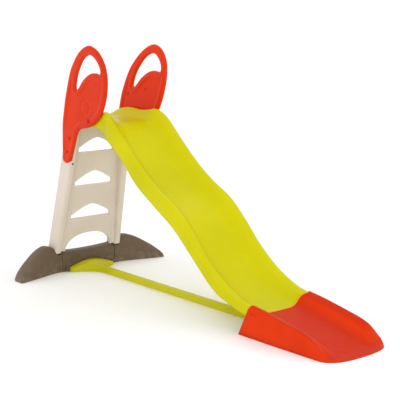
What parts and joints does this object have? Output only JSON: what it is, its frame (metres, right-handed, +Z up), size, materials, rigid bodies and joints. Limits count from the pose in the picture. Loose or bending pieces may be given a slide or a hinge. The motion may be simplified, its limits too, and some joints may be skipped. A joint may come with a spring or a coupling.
{
  "type": "toddler slide",
  "caption": "Garden slide for small children: double-wave chute with a landing foot, arched ladder on a wide base, ring handles, folding pivot and ground tie bar.",
  "frame": {"origin": "on the ground under the middle of the slide's bounding box", "axes": "+X runs down the slide from the ladder to the landing foot, +Y is the rider's left, +Z is up"},
  "size_m": [2.51, 1.126, 1.46],
  "materials": {
    "chute": "smooth moulded polyethylene, satin gloss",
    "red_plastic": "smooth moulded polyethylene, satin gloss",
    "ladder": "fine grained polyethylene",
    "base": "fine grained polyethylene",
    "tie_bar": "smooth moulded polyethylene",
    "steel": "zinc plated",
    "cap": "smooth",
    "plug": "smooth"
  },
  "bodies": {
    "slide": {"chute": "chute", "landing_foot": "red_plastic", "landing_foot_screws": "steel"},
    "ladder": {"ladder_rail_left": "ladder", "ladder_rail_right": "ladder", "ladder_step_1": "ladder", "ladder_step_2": "ladder", "ladder_step_3": "ladder", "ladder_top_bridge": "ladder", "step_screws": "steel", "rail_plugs": "plug", "base_foot_left": "base", "base_foot_right": "base", "base_crossbar": "base", "base_bolts": "steel", "base_nuts": "steel", "rail_foot_screws": "steel", "handle_left": "red_plastic", "handle_right": "red_plastic", "handle_screws": "cap", "pivot_bolts": "cap", "pivot_nuts": "steel"},
    "tie_bar": {"tie_bar": "tie_bar"}
  },
  "joints": [
    {"name": "ladder_fold", "type": "hinge", "parent": "slide", "child": "ladder", "pos_m": [-0.775, 0, 1.005], "axis": [0, -1, 0], "range_deg": [0, 64]},
    {"name": "tie_bar_swing", "type": "hinge", "parent": "ladder", "child": "tie_bar", "pos_m": [-1.101, 0, 0.016], "axis": [0, 1, 0], "range_deg": [0, 89.6]}
  ],
  "couplings": [
    {"joint": "tie_bar_swing", "follows": "ladder_fold", "ratio": 1.4}
  ]
}
